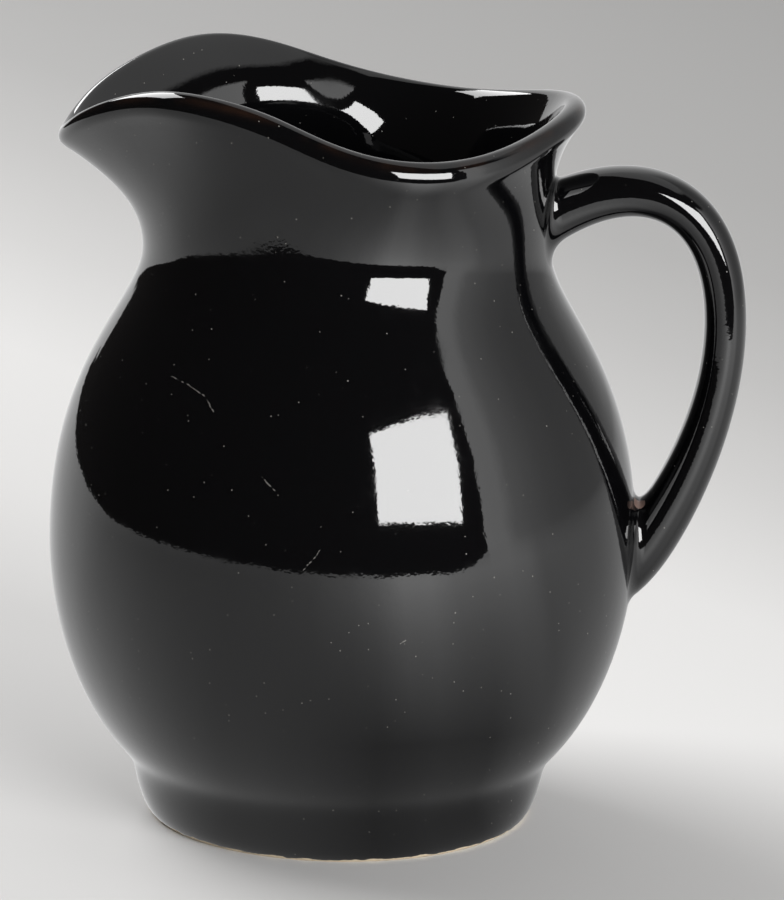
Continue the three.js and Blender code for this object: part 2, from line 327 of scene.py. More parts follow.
flat = np.zeros(len(rows))
section = points_with("section_rows", np.stack([rows[:, 0], flat, rows[:, 1]], 1), climb=rows[:, 2],
                      turn=rows[:, 3], neck=rows[:, 4], soft=softness(rows))
rim = points_with("rim_columns", np.stack([crest_radius, 0 * crest_radius, crest_height], 1),
                  lean=np.radians(lean), inner_lean=np.radians(inner_lean), lift=neck_side_lift * sideways,
                  lip=lip_height, start=lip_start, end=lip_end, pull=inner_pull)

# %% [markdown]
# The tree makes a grid with a row for each row of the section and a column for each step round the pot,
# looks up the row's and the column's numbers, and moves every point to its place. The leaning wall is a
# cubic Bezier curve: it starts upright at the neck and arrives at the lip with the rim's lean. A lathe and
# a sculpted rim would also do, but here one formula makes both, and a change of wall or lean carries
# through.

# %% A tree's inputs and its end
def new_tree(name, inputs):
    """A Geometry Nodes tree with named inputs, and what its group input gives."""
    tree = bpy.data.node_groups.new(name, "GeometryNodeTree")
    tree.is_modifier = True
    tree.interface.new_socket("Geometry", in_out="INPUT", socket_type="NodeSocketGeometry")
    for key, kind in inputs.items():
        tree.interface.new_socket(key, in_out="INPUT", socket_type="NodeSocket" + kind)
    tree.interface.new_socket("Geometry", in_out="OUTPUT", socket_type="NodeSocketGeometry")
    return tree, tree.nodes.new("NodeGroupInput").outputs


def close_tree(tree, geometry, material):
    """Ends a tree in real, smooth, painted geometry."""
    smooth = add(tree, "SetShadeSmooth", {"Geometry": geometry})
    real = add(tree, "RealizeInstances", {"Geometry": smooth})
    painted = add(tree, "SetMaterial", {"Geometry": real, "Material": material})
    add(tree, "GroupOutput", {"Geometry": painted})


def run_tree(tree, carrier, values, name):
    """Runs a tree on an object with the values given, and returns the result as a plain mesh object."""
    modifier = carrier.modifiers.new(tree.name, "NODES")
    modifier.node_group = tree
    for item in tree.interface.items_tree:
        if item.in_out == "INPUT" and item.name in values:
            modifier[item.identifier] = values[item.name]
    view = bpy.context.evaluated_depsgraph_get()
    mesh = bpy.data.meshes.new_from_object(carrier.evaluated_get(view), depsgraph=view)
    carrier.modifiers.remove(modifier)
    mesh.name = name
    return new_object(name, mesh)


# %% The pot's tree: finding the row and the column
pot, given = new_tree("pot_loft", {"Rim": "Object", "Columns": "Int", "Wall": "Float", "Outer Pull": "Float",
                                   "Axis X": "Float", "Blur": "Int", "Glaze": "Material"})
row_count = add(pot, "AttributeDomainSize", {"Geometry": given["Geometry"]}, "Point Count")
column_count = add(pot, "IntegerMath ADD", [given["Columns"], 1])
grid = add(pot, "MeshGrid", {"Vertices X": column_count, "Vertices Y": row_count}, "Mesh")
index = add(pot, "InputIndex")
row = add(pot, "IntegerMath MODULO", [index, row_count])
column = add(pot, "IntegerMath DIVIDE_FLOOR", [index, row_count])
rim_mesh = add(pot, "ObjectInfo", {"Object": given["Rim"]}, "Geometry")
position = add(pot, "InputPosition")
numbers = {}
for mesh, at, names in ((given["Geometry"], row, ("climb", "turn", "soft", "neck")),
                        (rim_mesh, column, ("lean", "inner_lean", "lip", "start", "end", "pull", "lift"))):
    for name in names:
        value = add(pot, "InputNamedAttribute", {"Name": name})
        numbers[name] = add(pot, "SampleIndex", {"Geometry": mesh, "Value": value, "Index": at})
level_base, crest = (
    add(pot, "SampleIndex", {"Geometry": mesh, "Value": position, "Index": at}, data_type="FLOAT_VECTOR")
    for mesh, at in ((given["Geometry"], row), (rim_mesh, column)))
turn = numbers["turn"]
lean_here = add(pot, "Mix", {"Factor": turn, "A": numbers["lean"], "B": numbers["inner_lean"]})
lift = add(pot, "Math MULTIPLY", [numbers["neck"], numbers["lift"]])
lift_up = add(pot, "CombineXYZ", {"Z": lift})
base = add(pot, "VectorMath ADD", [level_base, lift_up])

# %% [markdown]
# The wall ends at the lip's round, half of an ellipse. It is as wide as the wall, and at the pot's sides,
# where the maker pinched the wall to pull the lip, it is taller than that. Its surface turns from the outer
# side over the top to the inner side, and starts where the ellipse runs along the wall, so that no edge
# shows. Two more control points make the wall's curve start upright and arrive along the lean.

# %% The pot's tree: the leaning wall
half_wall = add(pot, "Math MULTIPLY", [given["Wall"], 0.5])
below_crest = add(pot, "CombineXYZ", {"Z": numbers["lip"]})
lip_middle = add(pot, "VectorMath SUBTRACT", [crest, below_crest])
past_start = add(pot, "Math ADD", [numbers["start"], math.pi])
whole_turn = add(pot, "Math SUBTRACT", [past_start, numbers["end"]])
part_turn = add(pot, "Math MULTIPLY", [turn, whole_turn])
facing = add(pot, "Math SUBTRACT", [part_turn, numbers["start"]])
lip_size = add(pot, "CombineXYZ", {"X": half_wall, "Z": numbers["lip"]})
from_middle = add(pot, "VectorMath MULTIPLY", [turned_way(pot, facing, "X", "Z"), lip_size])
end = add(pot, "VectorMath ADD", [lip_middle, from_middle])

reach = add(pot, "VectorMath DISTANCE", [base, end])
pull_share = add(pot, "Mix", {"Factor": turn, "A": given["Outer Pull"], "B": numbers["pull"]})
pull = add(pot, "Math MULTIPLY", [reach, pull_share])
upright = add(pot, "CombineXYZ", {"Z": pull})
second = add(pot, "VectorMath ADD", [base, upright])
back_down = add(pot, "VectorMath SCALE", {0: turned_way(pot, lean_here, "Z", "X"), "Scale": pull})
third = add(pot, "VectorMath SUBTRACT", [end, back_down])

# %% [markdown]
# Each row's climb gives its point on the wall's curve. Rows of the foot, belly and bowl have a climb of 0, so
# they stay on their base point. Each point is then turned round the pot's axis.

# %% The pot's tree: every point in its place
on_curve = curve_point(pot, [base, second, third, end], numbers["climb"])
share = add(pot, "Math DIVIDE", [column, given["Columns"]])
angle = add(pot, "Math MULTIPLY", [share, math.tau])
turned = add(pot, "VectorRotate", {"Vector": on_curve, "Angle": angle}, rotation_type="Z_AXIS")
axis_place = add(pot, "CombineXYZ", {"X": given["Axis X"]})
placed = add(pot, "VectorMath ADD", [turned, axis_place])
lofted = add(pot, "SetPosition", {"Geometry": grid, "Position": placed})

# %% [markdown]
# The grid's first and last columns lie on each other and its poles are many points in one, so points that
# touch are merged. Then the wall is blurred a little, as soft clay and a coat of glaze are: where two
# curves meet, a gloss surface would show the jump in curvature. The corner over the foot becomes a soft
# hollow the same way, where the glaze gathers. The lip and the foot's lower edge keep their shape.

# %% The pot's tree: closing and softening
for name in ("soft", "turn"):
    lofted = add(pot, "StoreNamedAttribute", {"Geometry": lofted, "Name": name, "Value": numbers[name]})
merged = add(pot, "MergeByDistance", {"Geometry": lofted, "Distance": 0.01 * mm})
soft_here = add(pot, "InputNamedAttribute", {"Name": "soft"})
blurred = add(pot, "BlurAttribute",
              {"Value": position, "Iterations": given["Blur"], "Weight": soft_here}, data_type="FLOAT_VECTOR")
softened = add(pot, "SetPosition", {"Geometry": merged, "Position": blurred})
close_tree(pot, softened, given["Glaze"])

# %% Making the body
glaze = bpy.data.materials.new("gloss_black_dipped_glaze")
softening_passes = 16
body = run_tree(pot, section, {"Rim": rim, "Columns": columns, "Wall": wall, "Outer Pull": outer_pull,
                               "Axis X": axis_x, "Blur": softening_passes, "Glaze": glaze}, "pitcher_body")
print("body:", len(body.data.vertices), "vertices,", len(body.data.polygons), "faces")

# %% [markdown]
# The handle is a strap of clay, oval in section. It springs from the neck, turns over its highest point,
# runs down past the finger gap and lands on the belly. Its centre line is two Bezier curves that meet
# upright at the outermost point, with a straight root at each end that runs on into the wall.

# %% The handle's line
def slope(degrees):
    """The direction that rises outwards at an angle."""
    return Vector((math.cos(math.radians(degrees)), 0, math.sin(math.radians(degrees))))


# thickness and width at the upper joint, the middle and the lower joint
upper_section, middle_section = (8.0 * mm, 9.0 * mm, 0), (5.6 * mm, 8.4 * mm, 0)
lower_section = (8.1 * mm, 10.6 * mm, 0)
sunk, root, finger_room = 2.5 * mm, 8.0 * mm, 8.2 * mm
upper_joint = Vector((neck_radius - sunk, 0, neck_height + 3.8 * mm))
apex = Vector((belly_radius + finger_room + middle_section[0] / 2, 0, neck_height - 9.5 * mm))
lower_joint = Vector((belly_radius - sunk, 0, belly_height - 4.2 * mm))
upper_way, lower_way, up = slope(34), slope(30), Vector((0, 0, 1))
upper_pull, over_apex_pull, under_apex_pull, lower_pull = 17.0 * mm, 17.9 * mm, 15.8 * mm, 4.2 * mm
knots = [
    # before the point, the point, after the point
    (upper_joint - upper_way * root, upper_joint - upper_way * root, upper_joint - upper_way * root * 2 / 3),
    (upper_joint - upper_way * root / 3, upper_joint, upper_joint + upper_way * upper_pull),
    (apex + up * over_apex_pull, apex, apex - up * under_apex_pull),
    (lower_joint + lower_way * lower_pull, lower_joint, lower_joint - lower_way * root / 3),
    (lower_joint - lower_way * root * 2 / 3, lower_joint - lower_way * root, lower_joint - lower_way * root),
]


def bezier_object(name, knots, offset):
    """A Bezier curve object through knots, each given with its two handles."""
    data = bpy.data.curves.new(name, "CURVE")
    data.dimensions = "3D"
    data.resolution_u = 256
    line = data.splines.new("BEZIER")
    line.bezier_points.add(len(knots) - 1)
    for point, (before, place, after) in zip(line.bezier_points, knots):
        point.handle_left_type = point.handle_right_type = "FREE"
        point.co, point.handle_left, point.handle_right = place + offset, before + offset, after + offset
    return new_object(name, data), line.calc_length()


handle_line, line_length = bezier_object("handle_line", knots, Vector((axis_x, 0, 0)))
print(f"handle line {line_length / mm:.1f} mm long")

# %% [markdown]
# A sweep along a path is a job for Geometry Nodes too. The line is resampled and blurred a little, so that
# its curvature changes gently, and a grid is wrapped round it: one way along the line, the other round the
# strap. The section is a superellipse, an oval with slightly flatter sides, and its thickness and width
# pass through three values, at the upper joint, the middle and the lower joint.

# %% The strap's tree: along the line
strap, given = new_tree("strap_sweep", {"Line": "Object", "Steps": "Int", "Strands": "Int", "Blur": "Int",
                                        "Root Share": "Float", "Upper Section": "Vector",
                                        "Middle Section": "Vector", "Lower Section": "Vector",
                                        "Squareness": "Float", "Glaze": "Material"})
line_shape = add(strap, "ObjectInfo", {"Object": given["Line"]}, "Geometry")
station_count = add(strap, "IntegerMath ADD", [given["Steps"], 1])
resampled = add(strap, "ResampleCurve", {"Curve": line_shape, "Count": station_count})
position = add(strap, "InputPosition")
eased = add(strap, "BlurAttribute", {"Value": position, "Iterations": given["Blur"]},
            data_type="FLOAT_VECTOR")
stations = add(strap, "SetPosition", {"Geometry": resampled, "Position": eased})
seam = add(strap, "IntegerMath ADD", [given["Strands"], 1])
grid = add(strap, "MeshGrid", {"Vertices X": station_count, "Vertices Y": seam}, "Mesh")
index = add(strap, "InputIndex")
step = add(strap, "IntegerMath DIVIDE_FLOOR", [index, seam])
strand = add(strap, "IntegerMath MODULO", [index, seam])
tangent = add(strap, "InputTangent")
centre, along = (add(strap, "SampleIndex", {"Geometry": stations, "Value": value, "Index": step},
                     data_type="FLOAT_VECTOR") for value in (position, tangent))
outer = add(strap, "VectorMath CROSS_PRODUCT", [along, (0, 1, 0)])

# %% The strap's tree: thickness and width
share = add(strap, "Math DIVIDE", [step, given["Steps"]])
far_share = add(strap, "Math SUBTRACT", [1.0, given["Root Share"]])
free_share = add(strap, "MapRange", [share, given["Root Share"], far_share])
ends = add(strap, "Mix", {"Factor": 0.5, "A": given["Upper Section"], "B": given["Lower Section"]},
           data_type="VECTOR")
twice = add(strap, "VectorMath SCALE", {0: given["Middle Section"], "Scale": 2.0})
control = add(strap, "VectorMath SUBTRACT", [twice, ends])
section_here = curve_point(strap, [given["Upper Section"], control, given["Lower Section"]], free_share)
half_section = add(strap, "VectorMath SCALE", {0: section_here, "Scale": 0.5})

# %% The strap's tree: round the oval
round_share = add(strap, "Math DIVIDE", [strand, given["Strands"]])
round_angle = add(strap, "Math MULTIPLY", [round_share, math.tau])
circle = turned_way(strap, round_angle, "X", "Y")
power = add(strap, "Math DIVIDE", [2.0, given["Squareness"]])
powers = add(strap, "CombineXYZ", {"X": power, "Y": power, "Z": 1.0})
size_only = add(strap, "VectorMath ABSOLUTE", [circle])
squared = add(strap, "VectorMath POWER", [size_only, powers])
signs = add(strap, "VectorMath SIGN", [circle])
signed = add(strap, "VectorMath MULTIPLY", [squared, signs])
scaled = add(strap, "VectorMath MULTIPLY", [signed, half_section])
parts = add(strap, "SeparateXYZ", [scaled]).node.outputs
outwards = add(strap, "VectorMath SCALE", {0: outer, "Scale": parts["X"]})
sidewards = add(strap, "VectorMath SCALE", {0: (0, -1, 0), "Scale": parts["Y"]})
offset = add(strap, "VectorMath ADD", [outwards, sidewards])
placed = add(strap, "VectorMath ADD", [centre, offset])
swept = add(strap, "SetPosition", {"Geometry": grid, "Position": placed})
own_strand = add(strap, "IntegerMath MODULO", [strand, given["Strands"]])
for name, value in {"step": step, "strand": own_strand}.items():
    named = {"Geometry": swept, "Name": name, "Value": value}
    swept = add(strap, "StoreNamedAttribute", named, data_type="INT")
closed = add(strap, "MergeByDistance", {"Geometry": swept, "Distance": 0.001 * mm})
close_tree(strap, closed, given["Glaze"])

# %% Making the strap
strands, steps, easing_passes, squareness = 72, 320, 80, 2.3
carrier = points_with("strap_carrier", [(0, 0, 0)])
handle = run_tree(strap, carrier, {"Line": handle_line, "Steps": steps, "Strands": strands,
                                   "Blur": easing_passes, "Root Share": root / line_length,
                                   "Upper Section": upper_section, "Middle Section": middle_section,
                                   "Lower Section": lower_section, "Squareness": squareness, "Glaze": glaze},
                  "handle_strap")
for spare in (section, rim, carrier, handle_line):
    bpy.data.objects.remove(spare)
print("strap:", len(handle.data.vertices), "vertices")

# %% [markdown]
# The strap runs on through the wall into the bowl, so it is cut off inside the wall, where nobody sees it.
# A ray from far outside towards the axis finds the pot's surface at any height and angle. What lies more
# than a millimetre under it goes, and the two holes are closed.

# %% Cutting the strap off in the wall
wall_tree = BVHTree.FromPolygons([v.co for v in body.data.vertices], [p.vertices for p in body.data.polygons])
far_out = 100 * mm


def on_wall(point, gap=0.0):
    """The place on the pot's outside level with a point, raised by a gap, and how deep the point is."""
    outward = Vector((point.x - axis_x, point.y, 0)).normalized()
    start = Vector((axis_x, 0, point.z)) + outward * far_out
    hit = wall_tree.ray_cast(start, -outward, far_out)[0]
    depth = (hit - point).dot(outward) if hit else -far_out
    return (hit + outward * gap if hit else None), depth


def numbered_strands(mesh):
    """The strap's points as an array of strands, each from the upper root to the lower one."""
    points = np.zeros((strands, steps + 1, 3))
    step_numbers, strand_numbers = mesh.attributes["step"].data, mesh.attributes["strand"].data
    for vertex, step_at, strand_at in zip(mesh.vertices, step_numbers, strand_numbers):
        points[strand_at.value, step_at.value] = vertex.co
    return points


strap_points = numbered_strands(handle.data)
cut_depth = 1.2 * mm
bm = bmesh.new()
bm.from_mesh(handle.data)
buried = [v for v in bm.verts if on_wall(v.co)[1] > cut_depth]
bmesh.ops.delete(bm, geom=buried, context="VERTS")
loose = [v for v in bm.verts if not v.link_faces]
bmesh.ops.delete(bm, geom=loose, context="VERTS")
holes = bmesh.ops.holes_fill(bm, edges=[e for e in bm.edges if e.is_boundary], sides=0)
bmesh.ops.triangulate(bm, faces=holes["faces"])
bmesh.ops.recalc_face_normals(bm, faces=bm.faces)
bm.to_mesh(handle.data)
open_edges = sum(e.is_boundary for e in bm.edges)
print(f"strap: {len(buried)} points cut off, {open_edges} open edges, {bm.calc_volume() * 1e9:.0f} mm3")
bm.free()

# %% [markdown]
# The maker smears soft slip into the corner where the strap meets the pot, and wipes it to a hollow fillet.
# It is lofted from one section for each strand of the strap: out over the wall, back in a hollow curve that
# starts along the wall and ends along the strap, and home inside the clay. The fillet's edges dip under
# both surfaces by a few hundredths of a millimetre, so no step shows there.

# %% The slip's sections
def walk(points, start, distance):
    """The place a distance along a line of points, from a fractional index; below zero it walks back."""
    spacing = np.linalg.norm(points[int(start) + 1] - points[int(start)])
    at = start + distance / spacing
    low = int(at)
    return Vector(points[low] + (points[low + 1] - points[low]) * (at - low))


def surfacing(points, forward):
    """The fractional index at which a strand leaves the wall, from the end that is buried in the pot."""
    order = range(len(points)) if forward else range(len(points) - 1, -1, -1)
    deep = None
    for i in order:
        depth = on_wall(Vector(points[i]))[1]
        if depth <= 0 and deep is not None:
            return i + (depth / (depth - deep)) * (-1 if forward else 1)
        deep = depth if depth > 0 else None
    return None


def slip_section(points, middle_line, angle, forward, outer_leg, inner_leg):
    """One closed section of a slip collar, at one strand of the strap."""
    leg = outer_leg + (inner_leg - outer_leg) * (1 - math.cos(angle)) / 2
    corner_at = surfacing(points, forward)
    step_way = 1 if forward else -1
    corner = walk(points, corner_at, 0)
    centre_here = Vector(middle_line[round(corner_at)])
    outward = Vector((corner.x - axis_x, corner.y, 0)).normalized()
    across = corner - centre_here
    across = (across - outward * across.dot(outward)).normalized()

    def on_strap(distance, sunk):
        place = walk(points, corner_at, step_way * distance)
        inward = Vector(middle_line[round(corner_at)]) - corner
        return place + inward.normalized() * sunk

    def over_wall(distance, sunk):
        return on_wall(corner + across * distance, -sunk)[0]

    curve = bezier([over_wall(leg, 0), corner, on_strap(leg, 0)], 12)
    tuck, dip, deep = 0.3 * mm, 0.01 * mm, 0.5 * mm
    under = corner - outward * deep + (centre_here - corner).normalized() * deep
    tucks = [(leg, deep), (leg + tuck, dip * 4), (leg + tuck / 2, dip)]
    return [under, *(over_wall(*t) for t in tucks), *map(Vector, curve), *(on_strap(*t) for t in tucks[::-1])]


def loft_ring(name, sections):
    """A closed ring skinned over closed sections of equally many points."""
    count = len(sections[0])
    corners = [(i, j) for i in range(len(sections)) for j in range(count)]

    def number(i, j):
        return (i % len(sections)) * count + j % count

    faces = [(number(i, j), number(i + 1, j), number(i + 1, j + 1), number(i, j + 1)) for i, j in corners]
    mesh = bpy.data.meshes.new(name)
    mesh.from_pydata([tuple(p) for s in sections for p in s], [], faces)
    bm = bmesh.new()
    bm.from_mesh(mesh)
    bmesh.ops.recalc_face_normals(bm, faces=bm.faces)
    bm.to_mesh(mesh)
    bm.free()
    mesh.shade_smooth()
    mesh.materials.append(glaze)
    return new_object(name, mesh)


# %% Making the slip collars
middle_line = strap_points.mean(axis=0)
angles = np.arange(strands) * math.tau / strands
slips = []
for name, forward, outer_leg, inner_leg in (("upper_slip", True, 1.3 * mm, 2.6 * mm),
                                            ("lower_slip", False, 1.2 * mm, 4.0 * mm)):
    slips.append(loft_ring(name, [slip_section(strand, middle_line, angle, forward, outer_leg, inner_leg)
                                  for strand, angle in zip(strap_points, angles)]))
upper_slip, lower_slip = slips
for piece, node in {body: "body", handle: "handle", upper_slip: "upper_joint_slip",
                    lower_slip: "lower_joint_slip"}.items():
    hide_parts(node)
    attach(piece, "root")
    print(piece.name, "stands for", node)

# %% [markdown]
# The camera stands 0.8 m from the pot, a little above it and looking down, with a long lens. Its pitch,
# turn and roll come from the photograph's perspective. The pot is turned by 3 degrees, which is the same as
# walking the camera round it.

# %% The camera
focal_length_px = 6205
picture_height_px = 900
camera_distance = 800 * mm
camera_height = 246.96 * mm
walked_round = math.radians(3.0)
pitch, turn, roll = math.radians(13.8707), math.radians(0.4591), math.radians(1.0610)
camera_data = bpy.data.cameras.new("camera")
camera = new_object("camera", camera_data)
camera_data.sensor_width = 36.0
camera_data.lens = camera_data.sensor_width * focal_length_px / picture_height_px
camera_data.clip_start, camera_data.clip_end = 0.01, 20.0
stand = Vector((0, -camera_distance, camera_height))
aim = (Matrix.Rotation(walked_round - turn, 4, "Z") @ Matrix.Rotation(math.pi / 2 - pitch, 4, "X")
       @ Matrix.Rotation(roll, 4, "Z"))
place = Vector((axis_x, 0, 0)) + Matrix.Rotation(walked_round, 3, "Z") @ stand
camera.matrix_world = Matrix.Translation(place) @ aim
bpy.context.scene.camera = camera
print("lens", round(camera_data.lens, 1), "mm, camera at", [round(v, 4) for v in place])

# %% [markdown]
# The finish is a gloss black glaze: a coat of glass about 0.2 mm thick, coloured with iron and cobalt, in
# which the pot was dipped before its second firing. Its own colour is nearly nothing, so the eye sees the
# studio mirrored in it, faintly where the surface faces the eye and strongly at grazing angles. That comes
# from the index of refraction alone. Glass is 1.5, and the metals in a black glaze raise it to about 1.6.
# Two shaders, a coat over a base, would also do, but the clay under this glaze never shows through, so one
# dark glossy base is enough.

# %% The glaze: where a pattern sits
glaze.use_nodes = True
paint = glaze.node_tree
shader = paint.nodes["Principled BSDF"]
shader.inputs["IOR"].default_value = 1.6
on_pot = add(paint, "TexCoord", output="Object")
height = add(paint, "SeparateXYZ", [on_pot], "Z")
print("glaze:", glaze.name, "index", shader.inputs["IOR"].default_value)

# %% [markdown]
# A fired glaze is never quite flat. It has long shallow waves, like orange peel, and a finer unrest that
# makes the edges of mirrored windows ragged. A mirrored edge moves by twice the surface's tilt, so a tilt
# of half a degree is plenty: that is waves of 3.5 mm only 5 thousandths of a millimetre high.

# %% The glaze: orange peel
waves = add(paint, "TexNoise", {"Vector": on_pot, "Scale": 1 / (3.5 * mm), "Detail": 1.0})
ripples = add(paint, "TexNoise", {"Vector": on_pot, "Scale": 1 / (0.5 * mm), "Detail": 1.0})
waved = add(paint, "Bump", {"Height": waves, "Distance": 0.012 * mm})
peel = add(paint, "Bump", {"Height": ripples, "Distance": 0.004 * mm, "Normal": waved})

# %% [markdown]
# Hands and shelves leave their marks. Patches of grease dull the mirror a little. Dust and pinholes are
# single grey points up to a fifth of a millimetre wide. The centres of a cell pattern give their places, and
# each cell's own random number their size. Most centres lie above or below the surface and show nothing.

# %% The glaze: grease and dust
patches = add(paint, "TexNoise", {"Vector": on_pot, "Scale": 1 / (11 * mm), "Detail": 5.0, "Roughness": 0.7})
greasy = add(paint, "MapRange", [patches, 0.5, 0.8, 0.035, 0.12])
cells = add(paint, "TexVoronoi", {"Vector": on_pot, "Scale": 1 / (1.2 * mm)}, "Distance")
draw = add(paint, "SeparateColor", {"Color": cells.node.outputs["Color"]}, "Red")
speck_size = add(paint, "MapRange", [draw, 0.2, 1.0, 0.0, 0.085])
speck = add(paint, "Math LESS_THAN", [cells, speck_size])

# %% [markdown]
# A few fine scratches run over the front of the belly, each a broken grey line up to a fifth of a
# millimetre wide. They are made of straight stretches between two points. How far a place on the glaze is
# from a stretch gives the line, and noise breaks it up.

# %% The glaze: scratches
scratches = [
    # both ends, in millimetres from the pot's axis
    ((-21.1, -25.1, 64.6), (-18.7, -27.3, 64.1)),
    ((-18.7, -27.3, 64.1), (-16.4, -29.4, 63.1)),
    ((-16.1, -29.7, 62.8), (-15.1, -30.8, 61.5)),
    ((-8.4, -35.9, 54.3), (-6.7, -36.7, 52.7)),
    ((-3.1, -38.7, 42.7), (-1.8, -38.6, 44.2)),
    ((-1.8, -38.6, 44.2), (-0.7, -38.5, 45.7)),
    ((9.4, -37.6, 33.3), (10.3, -37.5, 33.8)),
]
unrest = add(paint, "TexNoise", {"Vector": on_pot, "Scale": 1 / (1.2 * mm), "Detail": 3.0}, "Color")
centred = add(paint, "VectorMath SUBTRACT", [unrest, (0.5, 0.5, 0.5)])
shaken = add(paint, "VectorMath SCALE", {0: centred, "Scale": 0.35 * mm})
from_axis = add(paint, "VectorMath SUBTRACT", [on_pot, (axis_x, 0, 0)])
wandering = add(paint, "VectorMath ADD", [from_axis, shaken])
gap = 1.0  # metres to the nearest stretch so far
for start, end in scratches:
    start, end = Vector(start) * mm, Vector(end) * mm
    reach = end - start
    to_place = add(paint, "VectorMath SUBTRACT", [wandering, start])
    dot = add(paint, "VectorMath DOT_PRODUCT", [to_place, reach / reach.length_squared])
    share = add(paint, "Clamp", {"Value": dot})
    nearest = add(paint, "VectorMath SCALE", {0: reach, "Scale": share})
    away = add(paint, "VectorMath DISTANCE", [to_place, nearest])
    gap = add(paint, "Math MINIMUM", [gap, away])
breaks = add(paint, "TexNoise", {"Vector": on_pot, "Scale": 1 / (0.5 * mm), "Detail": 2.0})
width = add(paint, "MapRange", [breaks, 0.38, 0.62, 0, 0.1 * mm])
scratch = add(paint, "Math LESS_THAN", [gap, width])
print("scratched stretches:", len(scratches))

# %% [markdown]
# Glaze runs thin over a sharp edge, and there a black glaze breaks to brown. The lip's crest carries its
# own attribute, `turn`, from 0 on the outer side to 1 on the inner side, so the brown sits in a narrow line
# on the crest and nowhere else, in patches.

# %% The glaze: the brown break on the lip
lip_turn = add(paint, "Attribute", output="Fac", attribute_name="turn")
lip_angle = add(paint, "Math MULTIPLY", [lip_turn, math.pi])
over_crest = add(paint, "Math SINE", [lip_angle])
crest_share = add(paint, "Math POWER", [over_crest, 16.0])
thin = add(paint, "TexNoise", {"Vector": on_pot, "Scale": 1 / (6 * mm), "Detail": 4.0})
broken = add(paint, "MapRange", [thin, 0.4, 0.7])
brown_share = add(paint, "Math MULTIPLY", [crest_share, broken])

# %% [markdown]
# The ring that the pot stands on was wiped clean before firing, so that it wouldn't stick to the kiln
# shelf. A line of cream clay shows there, about 0.4 mm high, and the glaze above it ends unevenly. In the
# crook of the lower joint the dip left a spot bare too: the clay is pinkish there.

# %% The glaze: bare clay
uneven = add(paint, "TexNoise", {"Vector": on_pot, "Scale": 1 / (2.2 * mm), "Detail": 4.0})
glaze_end = add(paint, "MapRange", [uneven, 0.3, 0.7, 0.2 * mm, 0.6 * mm])
bare = add(paint, "Math LESS_THAN", [height, glaze_end])
spot_middle = (axis_x + 39.4 * mm, -2.1 * mm, 43.8 * mm)
spot_gap = add(paint, "VectorMath DISTANCE", [on_pot, spot_middle])
spot_edge = add(paint, "MapRange", [uneven, 0.3, 0.7, 0.5 * mm, 1.1 * mm])
spot = add(paint, "Math LESS_THAN", [spot_gap, spot_edge])

# %% The glaze: colour and roughness
colour = linear("060607")
rough = greasy
for where, tint, dull in ((brown_share, "20140e", None), (speck, "66645f", 0.5), (scratch, "5c5a57", 0.4),
                          (bare, "d8c8ae", 0.85), (spot, "6e5a52", 0.45)):
    colour = add(paint, "Mix", {"Factor": where, "A": colour, "B": linear(tint)}, data_type="RGBA")
    if dull is not None:
        rough = add(paint, "Mix", {"Factor": where, "A": rough, "B": dull})
paint.links.new(colour, shader.inputs["Base Color"])
paint.links.new(rough, shader.inputs["Roughness"])
paint.links.new(peel, shader.inputs["Normal"])
print("glaze nodes:", len(paint.nodes))

# %% [markdown]
# A black mirror shows what stands round it, so the studio matters as much as the glaze. Two soft boxes
# light the pot: one in front on the right, which is the white window on the belly, and one high up behind
# on the left, which draws the thin lines along the lip and throws the shadow to the front right. A lamp's
# power in watts spreads over four times its area, so the power is worked out from the brightness wanted.

# %% The soft boxes
def towards(azimuth, elevation):
    """The direction from the pot, azimuth from the camera's side round to the handle's, in degrees."""
    a, e = math.radians(azimuth), math.radians(elevation)
    return Vector((math.sin(a) * math.cos(e), -math.cos(a) * math.cos(e), math.sin(e)))


soft_boxes = [
    # name, azimuth, elevation, distance, width, height, roll and yaw in degrees, brightness
    ("front_soft_box", 32.2, 16.8, 1.2, 0.75, 0.54, 0, 15, 10.6),
    ("back_soft_box", -126, 44, 1.3, 1.25, 0.55, 25, 0, 6.3),
]
aim_height = 50 * mm
for name, azimuth, elevation, distance, across, tall, roll_by, yaw_by, brightness in soft_boxes:
    lamp = bpy.data.lights.new(name, "AREA")
    lamp.shape = "RECTANGLE"
    lamp.size, lamp.size_y = across, tall
    lamp.energy = 4 * across * tall * brightness
    soft_box = new_object(name, lamp)
    way = towards(azimuth, elevation)
    facing = way.to_track_quat("Z", "Y").to_matrix().to_4x4()
    for by, axis in ((roll_by, "Z"), (yaw_by, "Y")):
        facing = facing @ Matrix.Rotation(math.radians(by), 4, axis)
    soft_box.matrix_world = Matrix.Translation(Vector((axis_x, 0, aim_height)) + way * distance) @ facing
    soft_box.visible_camera = False
    print(name, f"{lamp.energy:.1f} W")

# %% [markdown]
# The rest of the room is a world that only changes with direction. In front it is a dark room. From the
# right and round the back it is a pale wall, brightest where it starts. There it is a low screen with the
# dark room above it, and over it all, on the same side, a grey ceiling. Rays from the camera see an even
# pale grey instead, so that every view has the same quiet background. Azimuth here runs as above, in
# radians.

# %% The room
def azimuth_of(tree, parts):
    """The azimuth of a direction, from its parts."""
    backwards = add(tree, "Math MULTIPLY", [parts["Y"], -1.0])
    return add(tree, "Math ARCTAN2", [parts["X"], backwards])


